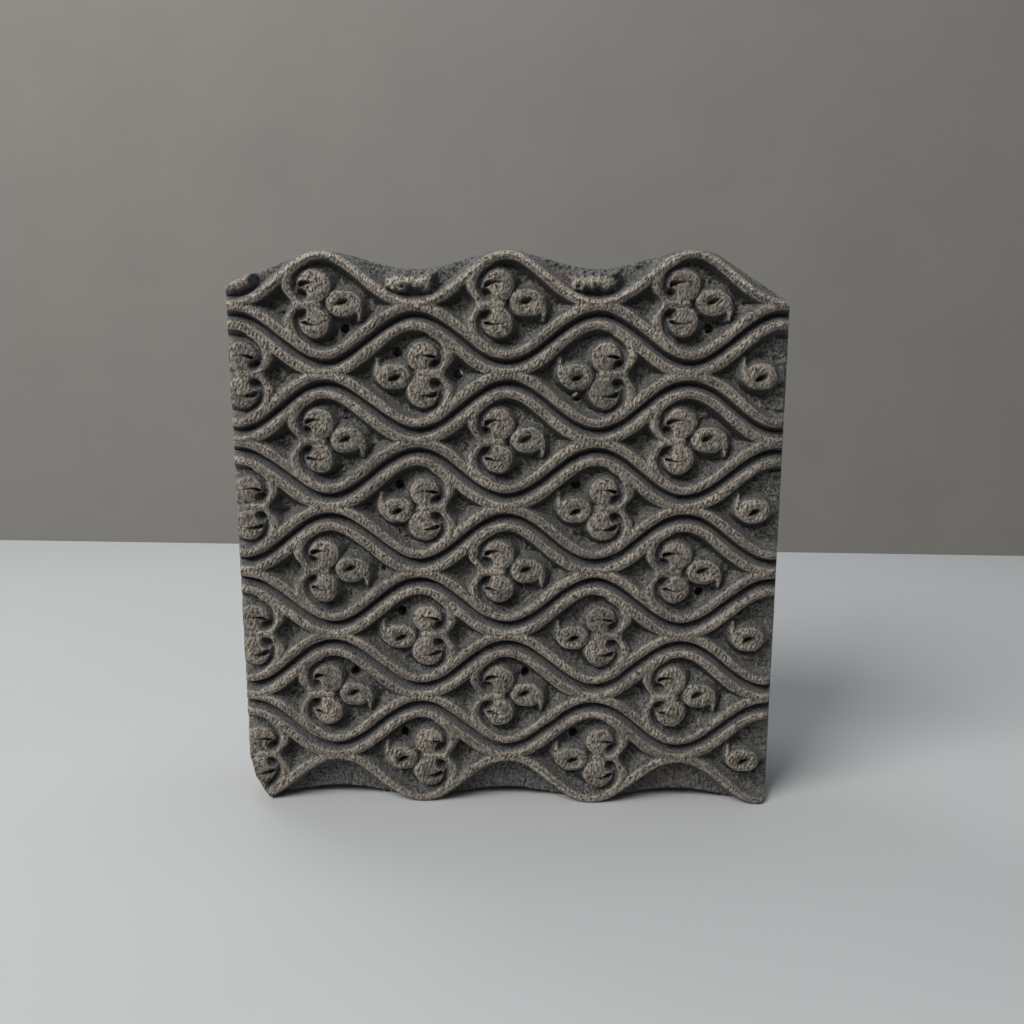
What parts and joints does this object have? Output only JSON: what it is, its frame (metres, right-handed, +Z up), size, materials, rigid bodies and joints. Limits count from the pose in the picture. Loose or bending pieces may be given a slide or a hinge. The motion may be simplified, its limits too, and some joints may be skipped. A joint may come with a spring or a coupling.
{
  "type": "textile printing block",
  "caption": "Hand-carved wooden printing block with a relief of ogee cells and lobes on its face, drilled vents, and a nailed bar grip on cleats behind.",
  "frame": {"origin": "on the plane of the feet, below the middle of the object's box", "axes": "+Z up as the block stands on its lower edge, -Y out of the printing face, +Y out of the grip, +X to the right when the printing face is looked at"},
  "size_m": [0.156, 0.0704, 0.1589],
  "materials": {
    "face_wood": "old dense hardwood, grey-brown, worn lighter on the printing face",
    "grip_wood": "old hardwood, darkened and polished by hands",
    "nail_iron": "hand-forged iron, dark and slightly rusted"
  },
  "bodies": {
    "root": {"printing_block": "face_wood", "left_cleat": "grip_wood", "right_cleat": "grip_wood", "grip_bar": "grip_wood", "cleat_nails": "nail_iron", "bar_nails": "nail_iron"}
  },
  "joints": []
}
